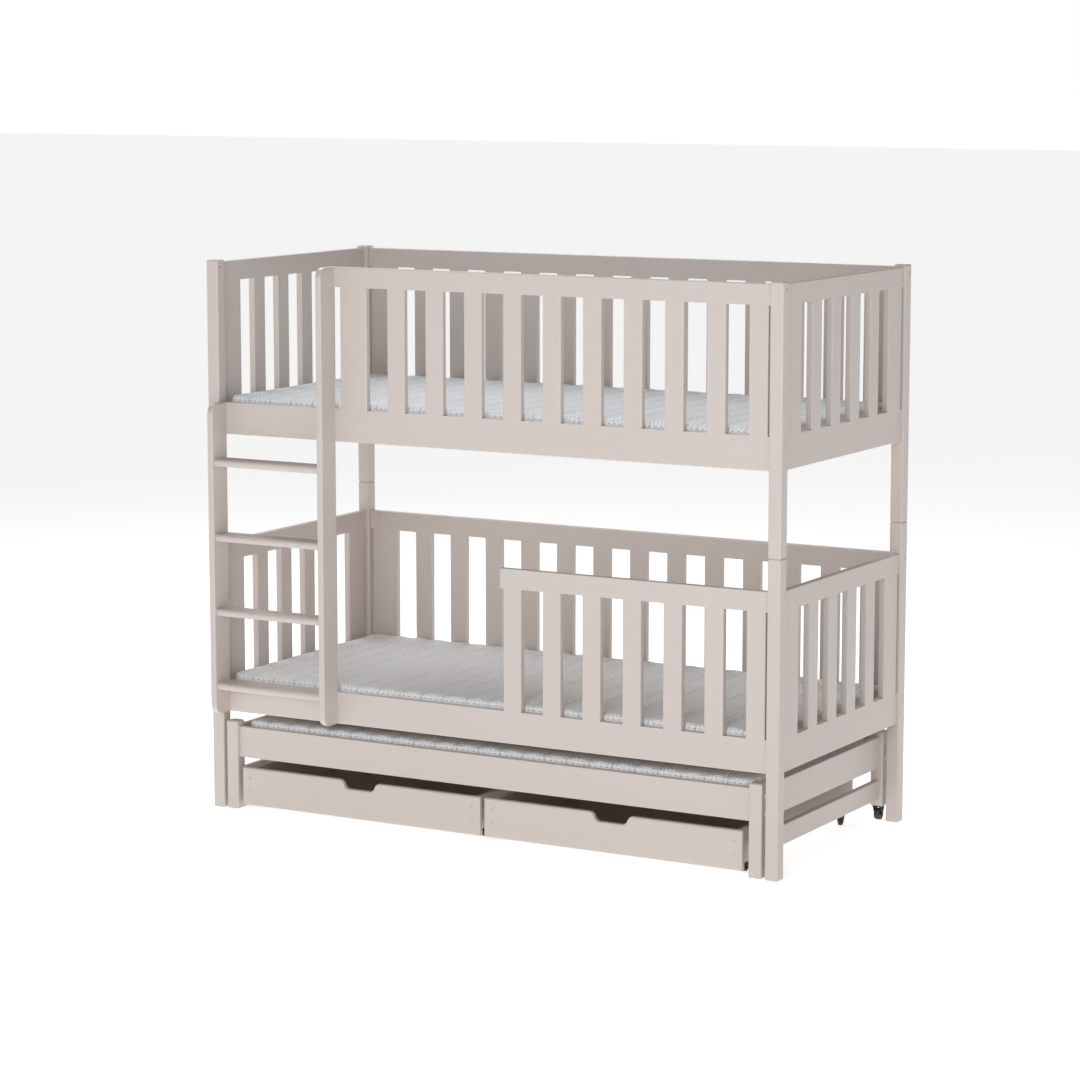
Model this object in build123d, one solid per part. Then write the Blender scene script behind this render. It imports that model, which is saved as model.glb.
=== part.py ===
from build123d import *
import os

os.makedirs("parts", exist_ok=True)

# Corner posts
bed_length = 1880.0
bed_depth = 856.0
post_side = 40.0
post_arris = 5.0
post_end_chamfer = 3.0
post_joint_rise = 92.0
post_stand = 6.0

# Slatted panels and rails
panel_inset = 8.0
panel_thickness = 20.0
edge_radius = 3.0
lower_panel_bottom = 297.0
bunk_rise = 835.0
side_rail_height = 94.0
slot_height = 354.0
top_rail_height = 58.0
slat_width = 58.0
slot_width = 70.0
wide_slat_width = 90.0
post_gap = 7.0
lower_guard_length = 844.0
lower_guard_overhang = 11.0
upper_guard_setback = 19.0

# Glued joints of slats, rungs and end rails
tenon_wall = 1.0
tenon_thickness = 8.0
tenon_shoulder = 10.0
joint_clearance = 0.1

# Frame bolts, barrel nuts and post pins
bolt_radius = 3.0
bolt_hole_radius = 3.25
bolt_head_radius = 6.0
bolt_head_height = 4.0
bolt_head_sink = 1.0
bolt_head_clearance = 0.5
bolt_reach = 42.0
bolt_key_radius = 2.3
bolt_key_depth = 2.4
bolt_edge_distance = 14.0
nut_radius = 5.0
nut_length = 14.0
nut_setback = 30.0
nut_clearance = 0.1
nut_thread_clearance = 0.05
pin_radius = 5.0
pin_length = 80.0
pin_clearance = 0.1

# Ladder
stile_depth = 72.0
stile_thickness = 20.0
stile_corner_radius = 30.0
stile_edge_radius = 4.0
rung_span = 364.0
rung_depth = 60.0
rung_thickness = 22.0
rung_front_setback = 7.0
rung_nose_radius = 9.0
rung_count = 4
rung_pitch = 223.4
first_rung_height = 96.0
ladder_bolt_spacing = 24.0
ladder_bolt_reach = 29.0

# Slatted bases
ledge_side = 20.0
ledge_end_gap = 2.0
base_slat_width = 70.0
base_slat_thickness = 12.0
base_slat_side_gap = 2.0
base_slat_count = 12
base_end_gap = 40.0

# Mattresses
mattress_thickness = 80.0
mattress_side_gap = 5.0
mattress_end_gap = 22.0
mattress_seat_gap = 0.3
mattress_draw_in = 3.0
mattress_edge_radius = 14.0
mattress_corner_radius = 26.0
mattress_crown = 1.0
mattress_corner_margin = 0.5
channel_pitch = 73.0
channel_depth = 1.6

# Trundle bed
trundle_post_gap = 10.0
trundle_post_top = 269.0
trundle_front_foot = 1.0
trundle_inset = 12.0
trundle_rail_bottom = 159.0
trundle_rail_height = 94.0
trundle_low_rail_bottom = 63.0
trundle_low_rail_height = 58.0
trundle_bolt_spacing = 50.0
trundle_mattress_thickness = 77.0
trundle_mattress_end_gap = 18.0
caster_block_length = 46.0

# Casters under the trundle
trundle_caster_height = 43.0
trundle_caster_plate = 38.0
trundle_wheel_radius = 17.0
trundle_wheel_width = 18.0
trundle_axle_radius = 3.0
plate_thickness = 2.0
cheek_thickness = 2.5
wheel_side_gap = 0.5
axle_clearance = 0.05
wheel_rim_radius = 2.0
hub_recess = 1.5

# Drawers
drawer_gap = 13.0
drawer_end_gap = 16.5
drawer_gap_middle = -4.0
drawer_front_setback = 5.0
drawer_front_bottom = 16.0
drawer_front_height = 115.0
drawer_front_thickness = 18.0
drawer_front_round = 5.0
drawer_back_gap = 42.0
drawer_side_thickness = 16.0
drawer_side_inset = 16.0
drawer_side_drop = 4.0
drawer_bottom_thickness = 5.0
drawer_bottom_rise = 8.0
drawer_groove_depth = 6.0
drawer_groove_clearance = 0.2
notch_top_width = 142.0
notch_bottom_width = 70.0
notch_depth = 26.0
drawer_caster_height = 28.0
drawer_caster_plate = 28.0
drawer_wheel_radius = 11.5
drawer_wheel_width = 10.0
drawer_axle_radius = 2.0
drawer_caster_front = 70.0
drawer_caster_back = 66.0

# Places that follow from the sizes; the origin is on the floor, mid-way along and across the whole bed
tenon_length = bolt_edge_distance - nut_radius - nut_clearance - tenon_wall
ladder_projection = stile_depth - panel_inset
left = -bed_length / 2
front = (ladder_projection - bed_depth) / 2
back = front + bed_depth
mid_depth = (front + back) / 2
upper_panel_bottom = lower_panel_bottom + bunk_rise
panel_height = side_rail_height + slot_height + top_rail_height
post_joint_height = lower_panel_bottom + panel_height + post_joint_rise
post_height = upper_panel_bottom + panel_height + post_stand
rail_length = bed_length - 2 * post_side
end_rail_length = bed_depth - 2 * post_side
inner_left = left + panel_inset + panel_thickness
inner_front = front + panel_inset + panel_thickness
inner_back = back - panel_inset - panel_thickness
trundle_left = left + post_side + trundle_post_gap
drawer_width = -trundle_left - post_side - drawer_gap / 2 - drawer_end_gap
drawer_end = back - post_side - drawer_back_gap

across_length = Plane.YZ
across_depth = Plane.XZ.offset(-mid_depth)


def block(x, y, z):
    """A plain block that fills three intervals."""
    size = [high - low for low, high in (x, y, z)]
    return Pos(x[0], y[0], z[0]) * Box(*size, align=(Align.MIN, Align.MIN, Align.MIN))


def plank(x, y, z, grain, radius):
    """A block whose four edges along the grain are rounded."""
    body = block(x, y, z)
    return fillet(body.edges().filter_by(grain), radius)


def rod(radius, start, end, axis):
    """A round bar along one axis, centred on the other two."""
    bar = Cylinder(radius, end - start, align=(Align.CENTER, Align.CENTER, Align.MIN))
    turn = {Axis.X: Rot(0, 90, 0), Axis.Y: Rot(-90, 0, 0), Axis.Z: Rot(0, 0, 0)}[axis]
    move = {Axis.X: Pos(start, 0, 0), Axis.Y: Pos(0, start, 0), Axis.Z: Pos(0, 0, start)}[axis]
    return move * turn * bar


def solids_of(shapes):
    """Every solid of a list of shapes, in one flat list."""
    return [solid for shape in shapes for solid in shape.solids()]


def save(name, *shapes):
    """Write one node: one solid, or a group of separate solids."""
    solids = solids_of(shapes)
    whole = solids[0] if len(solids) == 1 else Compound(children=solids)
    whole.label = name
    export_step(whole, f"parts/{name}.step")


def cut(shape, tools):
    """Take a list of tools out of a shape in one go."""
    return shape - tools if tools else shape


# Frame bolt, its holes and its barrel nut, drawn from the post's outer face inwards along +X

def bolt_solid(shank_end):
    head_start = bolt_head_sink
    head = rod(bolt_head_radius, head_start, head_start + bolt_head_height, Axis.X)
    head = chamfer(head.edges().group_by(Axis.X)[0], bolt_head_sink / 2)
    shank = rod(bolt_radius, head_start + bolt_head_height, shank_end, Axis.X)
    hexagon = extrude(RegularPolygon(bolt_key_radius, 6), bolt_key_depth)
    key = Pos(head_start, 0, 0) * Rot(0, 90, 0) * hexagon
    return head + shank - key


def bolt_bore(bore_end):
    sink = rod(bolt_head_radius + bolt_head_clearance, 0, bolt_head_sink + bolt_head_height, Axis.X)
    return sink + rod(bolt_hole_radius, 0, bore_end, Axis.X)


def nut_solid(depth):
    body = Pos(depth, 0, 0) * rod(nut_radius, -nut_length / 2, nut_length / 2, Axis.Y)
    hole_radius = bolt_radius + nut_thread_clearance
    return body - rod(hole_radius, depth - 2 * nut_radius, depth + 2 * nut_radius, Axis.X)


def nut_bore(depth, inward):
    reach = [-inward * (nut_length / 2 + nut_clearance), inward * panel_thickness]
    return Pos(depth, 0, 0) * rod(nut_radius + nut_clearance, min(reach), max(reach), Axis.Y)


nut_depth = post_side + nut_setback
bolt_end = post_side + bolt_reach
bolt = bolt_solid(bolt_end)
bolt_hole = bolt_bore(bolt_end + bolt_head_sink)
nut = nut_solid(nut_depth)


def at_post(face, y, z):
    """Place of a bolt that enters a post at its left or right outer face."""
    return Pos(face, y, z) * (Rot(0, 0, 0) if face < 0 else Rot(0, 0, 180))


def nut_hole(face, rail_y):
    """Barrel nut hole, open to the inside of the bed."""
    inward = 1 if rail_y < mid_depth else -1
    return nut_bore(nut_depth, inward if face < 0 else -inward)


# Slatted panels, drawn along +X from a post's face, with their thickness along +Y

def slat_spans(start, end, first, last):
    """Sides of each slat: the gaps between them are even and near slot_width."""
    free = end - start - first - last
    slots = max(1, round((free + slat_width) / (slat_width + slot_width)))
    slot = (free - (slots - 1) * slat_width) / slots
    spans = [(start, start + first)]
    for place in range(slots - 1):
        side = start + first + slot + place * (slat_width + slot)
        spans.append((side, side + slat_width))
    return spans + [(end - last, end)]


def tongue(span, z, clearance):
    """The tenon of a slat, or with a clearance, its mortise."""
    middle = panel_thickness / 2
    half = tenon_thickness / 2 + clearance
    x = (span[0] + tenon_shoulder - clearance, span[1] - tenon_shoulder + clearance)
    return block(x, (middle - half, middle + half), z)


def slats(spans, bottom):
    """Upright slats between a bottom rail and a top rail."""
    top = bottom + slot_height
    pieces = []
    for span in spans:
        body = plank(span, (0, panel_thickness), (bottom, top), Axis.Z, edge_radius)
        pieces.append(body + tongue(span, (bottom - tenon_length, top + tenon_length), 0))
    return pieces


def rail(x, z, spans, slot_side, end_tenons):
    """A panel rail: rounded on its free edge, mortised on the edge that takes the slats."""
    body = block(x, (0, panel_thickness), z)
    long_edges = body.edges().filter_by(Axis.X).group_by(Axis.Z)
    body = fillet(long_edges[0 if slot_side == "top" else -1], edge_radius)
    reach = tenon_length + joint_clearance
    slot_z = (z[1] - reach, z[1]) if slot_side == "top" else (z[0], z[0] + reach)
    if end_tenons:
        body += end_tenon(x, z, 0)
    return cut(body, [tongue(span, slot_z, joint_clearance) for span in spans])


def end_tenon(x, z, clearance):
    """The tenons at both ends of a rail, drawn as one bar through it."""
    middle = panel_thickness / 2
    half = tenon_thickness / 2 + clearance
    reach = tenon_length + clearance
    height = (z[0] + tenon_shoulder - clearance, z[1] - tenon_shoulder + clearance)
    return block((x[0] - reach, x[1] + reach), (middle - half, middle + half), height)


def rail_heights(bottom):
    """Height ranges of a panel's bottom rail and top rail."""
    slot_bottom = bottom + side_rail_height
    slot_top = slot_bottom + slot_height
    return (bottom, slot_bottom), (slot_top, slot_top + top_rail_height)


def bolt_heights(bottom):
    """Heights of the bolts of one panel: two in the bottom rail, one in the top rail."""
    low, high = rail_heights(bottom)
    return low[0] + bolt_edge_distance, low[1] - bolt_edge_distance, high[1] - bolt_edge_distance


front_line = front + panel_inset + panel_thickness / 2
back_line = back - panel_inset - panel_thickness / 2
panel_levels = {"lower": lower_panel_bottom, "upper": upper_panel_bottom}
side_faces = {"left": left, "right": -left}

# Corner posts: one front left post of each level is made, and mirrored to the other corners

end_panel_place = Pos(left + panel_inset + panel_thickness, front + post_side, 0) * Rot(0, 0, 90)


def corner_post(level):
    bottom = 0 if level == "lower" else post_joint_height
    top = post_joint_height if level == "lower" else post_height
    x = (left, left + post_side)
    y = (front, front + post_side)
    body = plank(x, y, (bottom, top), Axis.Z, post_arris)
    ends = body.faces().filter_by(Axis.Z)
    body = chamfer([edge for face in ends for edge in face.edges()], post_end_chamfer)
    panel_bottom = panel_levels[level]
    tools = [at_post(left, front_line, z) * bolt_hole for z in bolt_heights(panel_bottom)]
    for z in rail_heights(panel_bottom):
        tools.append(end_panel_place * end_tenon((0, end_rail_length), z, joint_clearance))
    middle = Pos(left + post_side / 2, front + post_side / 2, post_joint_height)
    pin_reach = pin_length / 2 + pin_clearance
    tools.append(middle * rod(pin_radius + pin_clearance, -pin_reach, pin_reach, Axis.Z))
    return cut(body, tools)


post_pin = rod(pin_radius, -pin_length / 2, pin_length / 2, Axis.Z)
front_pin = Pos(left + post_side / 2, front + post_side / 2, post_joint_height) * post_pin
left_pins = [front_pin, mirror(front_pin, about=across_depth)]
save("post_pins", *left_pins, *[mirror(pin, about=across_length) for pin in left_pins])

for level in panel_levels:
    front_left = corner_post(level)
    back_left = mirror(front_left, about=across_depth)
    save(f"post_{level}_front_left", front_left)
    save(f"post_{level}_back_left", back_left)
    save(f"post_{level}_front_right", mirror(front_left, about=across_length))
    save(f"post_{level}_back_right", mirror(back_left, about=across_length))

# End panels, glued between the front and back posts

end_spans = slat_spans(post_gap, end_rail_length - post_gap, wide_slat_width, wide_slat_width)

for level, panel_bottom in panel_levels.items():
    low, high = rail_heights(panel_bottom)
    low_rail = rail((0, end_rail_length), low, end_spans, "top", True)
    high_rail = rail((0, end_rail_length), high, end_spans, "bottom", True)
    rails = [end_panel_place * piece for piece in (low_rail, high_rail)]
    end_slats = [end_panel_place * piece for piece in slats(end_spans, low[1])]
    save(f"{level}_end_left_rails", *rails)
    save(f"{level}_end_left_slats", *end_slats)
    save(f"{level}_end_right_rails", *[mirror(piece, about=across_length) for piece in rails])
    save(f"{level}_end_right_slats", *[mirror(piece, about=across_length) for piece in end_slats])

# Back panels, bolted to the posts

bolt_places = []
back_place = Pos(left + post_side, back - panel_inset - panel_thickness, 0)
front_place = Pos(left + post_side, front + panel_inset, 0)
back_spans = slat_spans(post_gap, rail_length - post_gap, wide_slat_width, wide_slat_width)


def bolted(piece, line, heights, sides):
    """Drill a placed rail for its bolts and barrel nuts, and note where the bolts go."""
    tools = []
    for side in sides:
        face = side_faces[side]
        for z in heights:
            place = at_post(face, line, z)
            bolt_places.append(place)
            tools += [place * bolt_hole, place * nut_hole(face, line)]
    return cut(piece, tools)


for level, panel_bottom in panel_levels.items():
    low, high = rail_heights(panel_bottom)
    heights = bolt_heights(panel_bottom)
    low_rail = back_place * rail((0, rail_length), low, back_spans, "top", False)
    high_rail = back_place * rail((0, rail_length), high, back_spans, "bottom", False)
    low_rail = bolted(low_rail, back_line, heights[:2], side_faces)
    high_rail = bolted(high_rail, back_line, heights[2:], side_faces)
    save(f"{level}_back_rails", low_rail, high_rail)
    save(f"{level}_back_slats", *[back_place * piece for piece in slats(back_spans, low[1])])

# Ladder: two stiles on the front rails, and rungs tenoned into them

stile_lefts = [left + post_side, left + post_side + stile_thickness + rung_span]
stile_back = front + panel_inset
stile_front = stile_back - stile_depth
stile_tops = [upper_panel_bottom + side_rail_height, upper_panel_bottom + panel_height]
rung_x = (stile_lefts[0] + stile_thickness, stile_lefts[1])
rung_front = stile_front + rung_front_setback
rung_y = (rung_front, rung_front + rung_depth)
ladder_bolt_head = inner_front


def rung_tongue(z, clearance):
    """The tenons at both ends of a rung, drawn as one bar through it."""
    reach = tenon_length + clearance
    shoulder = tenon_shoulder - clearance
    height = rung_thickness / 2 - tenon_thickness / 2 - clearance
    y = (rung_y[0] + shoulder, rung_y[1] - shoulder)
    return block((rung_x[0] - reach, rung_x[1] + reach), y, (z[0] + height, z[1] - height))


rung_heights = []
for step in range(rung_count):
    top = lower_panel_bottom + first_rung_height + step * rung_pitch
    rung_heights.append((top - rung_thickness, top))

rungs = []
for z in rung_heights:
    body = block(rung_x, rung_y, z)
    noses = body.edges().filter_by(Axis.X).group_by(Axis.Y)
    body = fillet(noses[0], rung_nose_radius)
    body = fillet(body.edges().filter_by(Axis.X).group_by(Axis.Y)[-1], edge_radius)
    rungs.append(body + rung_tongue(z, 0))
save("ladder_rungs", *rungs)


def ladder_bolt_heights(stile_top):
    """Two bolts through each side rail, and one through the guard's top rail if the stile reaches it."""
    middles = [bottom + side_rail_height / 2 for bottom in panel_levels.values()]
    heights = [middle + side * ladder_bolt_spacing / 2 for middle in middles for side in (-1, 1)]
    guard_middle = upper_panel_bottom + panel_height - top_rail_height / 2
    return heights + [guard_middle] if stile_top > guard_middle else heights


def ladder_bolt_place(stile_left, z):
    return Pos(stile_left + stile_thickness / 2, ladder_bolt_head, z) * Rot(0, 0, -90)


ladder_bolt_end = panel_thickness + ladder_bolt_reach
ladder_bolt = bolt_solid(ladder_bolt_end)
ladder_bolt_hole = bolt_bore(ladder_bolt_end + bolt_head_sink)
ladder_bolt_places = []


def stile(stile_left, stile_top):
    height = stile_top - lower_panel_bottom
    middle = Pos(stile_back - stile_depth / 2, lower_panel_bottom + height / 2)
    outline = Plane.YZ * middle * Rectangle(stile_depth, height)
    outline = fillet(outline.vertices().group_by(Axis.Y)[0], stile_corner_radius)
    body = Pos(stile_left, 0, 0) * extrude(outline, stile_thickness)
    sides = body.faces().filter_by(Axis.X)
    edges = [edge for face in sides for edge in face.edges() if edge.center().Y < stile_back - edge_radius]
    body = fillet(edges, stile_edge_radius)
    tools = [rung_tongue(z, joint_clearance) for z in rung_heights]
    for z in ladder_bolt_heights(stile_top):
        place = ladder_bolt_place(stile_left, z)
        ladder_bolt_places.append(place)
        tools.append(place * ladder_bolt_hole)
    return cut(body, tools)


save("ladder_stile_left", stile(stile_lefts[0], stile_tops[0]))
save("ladder_stile_right", stile(stile_lefts[1], stile_tops[1]))

# Front rails and guards: the upper guard starts at the ladder, the lower one is short

upper_guard_start = stile_lefts[1] - left - post_side
upper_slat_start = upper_guard_start + stile_thickness + upper_guard_setback
lower_guard_start = rail_length - lower_guard_length
lower_slat_start = lower_guard_start + lower_guard_overhang
guard_end = rail_length - post_gap
guards = {
    "upper": (upper_guard_start, slat_spans(upper_slat_start, guard_end, wide_slat_width, slat_width)),
    "lower": (lower_guard_start, slat_spans(lower_slat_start, guard_end, slat_width, slat_width)),
}
ladder_holes = [place * ladder_bolt_hole for place in ladder_bolt_places]

for level, (start, spans) in guards.items():
    low, high = rail_heights(panel_levels[level])
    heights = bolt_heights(panel_levels[level])
    side_rail = front_place * rail((0, rail_length), low, spans, "top", False)
    guard_rail = front_place * rail((start, rail_length), high, spans, "bottom", False)
    side_rail = bolted(side_rail, front_line, heights[:2], side_faces)
    guard_rail = bolted(guard_rail, front_line, heights[2:], ["right"])
    save(f"{level}_front_side_rail", cut(side_rail, ladder_holes))
    save(f"{level}_guard_rail", cut(guard_rail, ladder_holes))
    save(f"{level}_guard_slats", *[front_place * piece for piece in slats(spans, low[1])])

frame_bolts = [place * bolt for place in bolt_places]
ladder_bolts = [place * ladder_bolt for place in ladder_bolt_places]
save("frame_bolts", *frame_bolts, *ladder_bolts)
save("barrel_nuts", *[place * nut for place in bolt_places])

# Ledges and slatted bases under the two fixed mattresses


def ledges(x, y, bottom):
    """A batten along the inside of the front rail, and one along the back rail."""
    z = (bottom, bottom + ledge_side)
    front_ledge = plank(x, (y[0], y[0] + ledge_side), z, Axis.X, edge_radius)
    back_ledge = plank(x, (y[1] - ledge_side, y[1]), z, Axis.X, edge_radius)
    return [front_ledge, back_ledge]


def base_slats(x, y, bottom):
    """Even slats from ledge to ledge."""
    first = x[0] + base_end_gap
    step = (x[1] - x[0] - 2 * base_end_gap - base_slat_width) / (base_slat_count - 1)
    across = (y[0] + base_slat_side_gap, y[1] - base_slat_side_gap)
    z = (bottom, bottom + base_slat_thickness)
    pieces = []
    for place in range(base_slat_count):
        start = first + place * step
        pieces.append(plank((start, start + base_slat_width), across, z, Axis.Y, edge_radius))
    return pieces


def soft_section(start, end, bottom, top, top_line):
    """A closed section with soft edges, whose sides bow out between them."""
    corner = mattress_edge_radius
    low = (start + mattress_draw_in, end - mattress_draw_in)
    middle = (bottom + top) / 2
    outline = Line((low[0] + corner, bottom), (low[1] - corner, bottom))
    outline += RadiusArc((low[1] - corner, bottom), (low[1], bottom + corner), -corner)
    outline += ThreePointArc((low[1], bottom + corner), (end, middle), (low[1], top - corner))
    outline += RadiusArc((low[1], top - corner), (low[1] - corner, top), -corner)
    outline += top_line((low[1] - corner, top), (low[0] + corner, top))
    outline += RadiusArc((low[0] + corner, top), (low[0], top - corner), -corner)
    outline += ThreePointArc((low[0], top - corner), (start, middle), (low[0], bottom + corner))
    outline += RadiusArc((low[0], bottom + corner), (low[0] + corner, bottom), -corner)
    return make_face(outline)


def channel_line(start, end):
    """The top seen from the side: low arches between channels, under one long crown."""
    count = max(2, round(abs(end[0] - start[0]) / channel_pitch))
    reach = (end[0] - start[0]) / count

    def crown(place):
        return start[1] + mattress_crown * (1 - (2 * place / count - 1) ** 2)

    arches = []
    for place in range(count):
        near = (start[0] + place * reach, crown(place))
        top = (near[0] + reach / 2, crown(place + 0.5) + channel_depth)
        arches.append(ThreePointArc(near, top, (near[0] + reach, crown(place + 1))))
    return arches


def mattress(x, y, bottom, thickness):
    """A crowned mattress: its sides draw in to soft edges, and shallow channels cross its top."""
    top = bottom + thickness
    across = soft_section(y[0], y[1], bottom, top + mattress_crown, Line)
    body = Pos(x[0], 0, 0) * extrude(Plane.YZ * across, x[1] - x[0])
    along = soft_section(x[0], x[1], bottom, top - mattress_crown - channel_depth, channel_line)
    body &= Pos(0, y[1], 0) * extrude(Plane.XZ * along, y[1] - y[0])
    margin = 2 * mattress_corner_margin
    plan = RectangleRounded(x[1] - x[0] + margin, y[1] - y[0] + margin, mattress_corner_radius)
    middle = Pos((x[0] + x[1]) / 2, (y[0] + y[1]) / 2, bottom - mattress_corner_margin)
    return body & middle * extrude(plan, thickness + margin)


bed_inside_x = (inner_left, -inner_left)
bed_inside_y = (inner_front, inner_back)
ledge_x = (left + post_side + ledge_end_gap, -left - post_side - ledge_end_gap)
all_ledges = []
for level, panel_bottom in panel_levels.items():
    all_ledges += ledges(ledge_x, bed_inside_y, panel_bottom)
    slat_bottom = panel_bottom + ledge_side
    save(f"{level}_base_slats", *base_slats(bed_inside_x, bed_inside_y, slat_bottom))
    seat = slat_bottom + base_slat_thickness + mattress_seat_gap
    mattress_x = (inner_left + mattress_end_gap, -inner_left - mattress_end_gap)
    mattress_y = (inner_front + mattress_side_gap, inner_back - mattress_side_gap)
    save(f"{level}_mattress", mattress(mattress_x, mattress_y, seat, mattress_thickness))
save("base_ledges", *all_ledges)

# Casters: a plate, two tapered cheeks and an axle pin, with a wheel that runs on the pin


def caster_bracket(plate, height, wheel_radius, wheel_width, axle_radius):
    """Bracket with its axle, centred on the wheel, its plate's top at the given height."""
    inside = wheel_width / 2 + wheel_side_gap
    outside = inside + cheek_thickness
    half = plate / 2
    body = block((-outside, outside), (-half, half), (height - plate_thickness, height))
    shoulder = half - plate_thickness
    boss = axle_radius + cheek_thickness
    for x in (-outside, inside):
        taper = Polygon((-shoulder, height - plate_thickness), (-boss, wheel_radius),
                        (boss, wheel_radius), (shoulder, height - plate_thickness), align=None)
        cheek = extrude(Plane.YZ * taper, cheek_thickness)
        cheek += Pos(0, 0, wheel_radius) * rod(boss, 0, cheek_thickness, Axis.X)
        body += Pos(x, 0, 0) * cheek
    return body + Pos(0, 0, wheel_radius) * rod(axle_radius, -outside, outside, Axis.X)


def caster_wheel(wheel_radius, wheel_width, axle_radius):
    """A moulded wheel with rounded rims and a dished hub."""
    half = wheel_width / 2
    body = rod(wheel_radius, -half, half, Axis.X)
    body = fillet(body.edges().filter_by(GeomType.CIRCLE), wheel_rim_radius)
    hub = axle_radius + hub_recess
    dish = wheel_radius - 2 * wheel_rim_radius
    for side in (-half, half - hub_recess):
        ring = rod(dish, side, side + hub_recess, Axis.X) - rod(hub, side, side + hub_recess, Axis.X)
        body -= ring
    body -= rod(axle_radius + axle_clearance, -wheel_width, wheel_width, Axis.X)
    return Pos(0, 0, wheel_radius) * body


# Trundle bed: four posts, rails, a slatted base and casters under it

trundle_posts = []
trundle_tools = []
trundle_face = {"left": trundle_left, "right": -trundle_left}
trundle_inner = trundle_inset + panel_thickness
trundle_inside_x = (trundle_left + trundle_inner, -trundle_left - trundle_inner)
trundle_inside_y = (front + trundle_inner, back - trundle_inner)
trundle_lines = {
    "front": trundle_inside_y[0] - panel_thickness / 2,
    "back": trundle_inside_y[1] + panel_thickness / 2,
}
trundle_middle = trundle_rail_bottom + trundle_rail_height / 2
trundle_bolt_places = []
for face in trundle_face.values():
    for line in trundle_lines.values():
        for side in (-1, 1):
            place = at_post(face, line, trundle_middle + side * trundle_bolt_spacing / 2)
            trundle_bolt_places.append(place)
            trundle_tools += [place * bolt_hole, place * nut_hole(face, line)]

trundle_end_place = Pos(trundle_inside_x[0], front + post_side, 0) * Rot(0, 0, 90)
trundle_low_rail = (trundle_low_rail_bottom, trundle_low_rail_bottom + trundle_low_rail_height)
trundle_rail = (trundle_rail_bottom, trundle_rail_bottom + trundle_rail_height)
end_rails = []
for z in (trundle_low_rail, trundle_rail):
    body = plank((0, end_rail_length), (0, panel_thickness), z, Axis.X, edge_radius)
    end_rails.append(trundle_end_place * (body + end_tenon((0, end_rail_length), z, 0)))
    trundle_tools.append(trundle_end_place * end_tenon((0, end_rail_length), z, joint_clearance))

for place_y, foot in ((front, trundle_front_foot), (back - post_side, trundle_caster_height)):
    x = (trundle_left, trundle_left + post_side)
    body = plank(x, (place_y, place_y + post_side), (foot, trundle_post_top), Axis.Z, post_arris)
    ends = body.faces().filter_by(Axis.Z)
    body = chamfer([edge for face in ends for edge in face.edges()], post_end_chamfer)
    body = cut(body, trundle_tools)
    trundle_posts += [body, mirror(body, about=across_length)]
save("trundle_posts", *trundle_posts)

block_y = (front + post_side, front + post_side + caster_block_length)
block_x = (trundle_left, trundle_left + post_side)
block_z = (trundle_caster_height, trundle_low_rail_bottom)
caster_block = plank(block_x, block_y, block_z, Axis.Z, edge_radius)
end_rails.append(caster_block)
save("trundle_end_rails", *end_rails, *[mirror(piece, about=across_length) for piece in end_rails])

long_x = (trundle_left + post_side, -trundle_left - post_side)
for name, line in trundle_lines.items():
    across = (line - panel_thickness / 2, line + panel_thickness / 2)
    body = plank(long_x, across, trundle_rail, Axis.X, edge_radius)
    save(f"trundle_{name}_rail", cut(body, trundle_tools))

trundle_ledge_x = (long_x[0] + ledge_end_gap, long_x[1] - ledge_end_gap)
trundle_slat_bottom = trundle_rail_bottom + ledge_side
trundle_seat = trundle_slat_bottom + base_slat_thickness + mattress_seat_gap
save("trundle_base_ledges", *ledges(trundle_ledge_x, trundle_inside_y, trundle_rail_bottom))
save("trundle_base_slats", *base_slats(trundle_inside_x, trundle_inside_y, trundle_slat_bottom))
save("trundle_mattress", mattress(
    (trundle_inside_x[0] + trundle_mattress_end_gap, trundle_inside_x[1] - trundle_mattress_end_gap),
    (trundle_inside_y[0] + mattress_side_gap, trundle_inside_y[1] - mattress_side_gap),
    trundle_seat, trundle_mattress_thickness))
trundle_bolts = [place * bolt for place in trundle_bolt_places]
trundle_nuts = [place * nut for place in trundle_bolt_places]
save("trundle_bolts", *trundle_bolts, *trundle_nuts)

trundle_caster = caster_bracket(trundle_caster_plate, trundle_caster_height, trundle_wheel_radius,
                                trundle_wheel_width, trundle_axle_radius)
trundle_wheel = caster_wheel(trundle_wheel_radius, trundle_wheel_width, trundle_axle_radius)
trundle_caster_x = (trundle_left + post_side / 2, -trundle_left - post_side / 2)
trundle_caster_y = {"front": (block_y[0] + block_y[1]) / 2, "rear": back - post_side / 2}
brackets = []
for row, y in trundle_caster_y.items():
    places = [Pos(x, y, 0) for x in trundle_caster_x]
    brackets += [place * trundle_caster for place in places]
    save(f"trundle_wheels_{row}", *[place * trundle_wheel for place in places])
save("trundle_caster_brackets", *brackets)

# Drawers that roll on the floor under the trundle

drawer_front_top = drawer_front_bottom + drawer_front_height
drawer_caster = caster_bracket(drawer_caster_plate, drawer_caster_height, drawer_wheel_radius,
                               drawer_wheel_width, drawer_axle_radius)
drawer_wheel = caster_wheel(drawer_wheel_radius, drawer_wheel_width, drawer_axle_radius)


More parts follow.
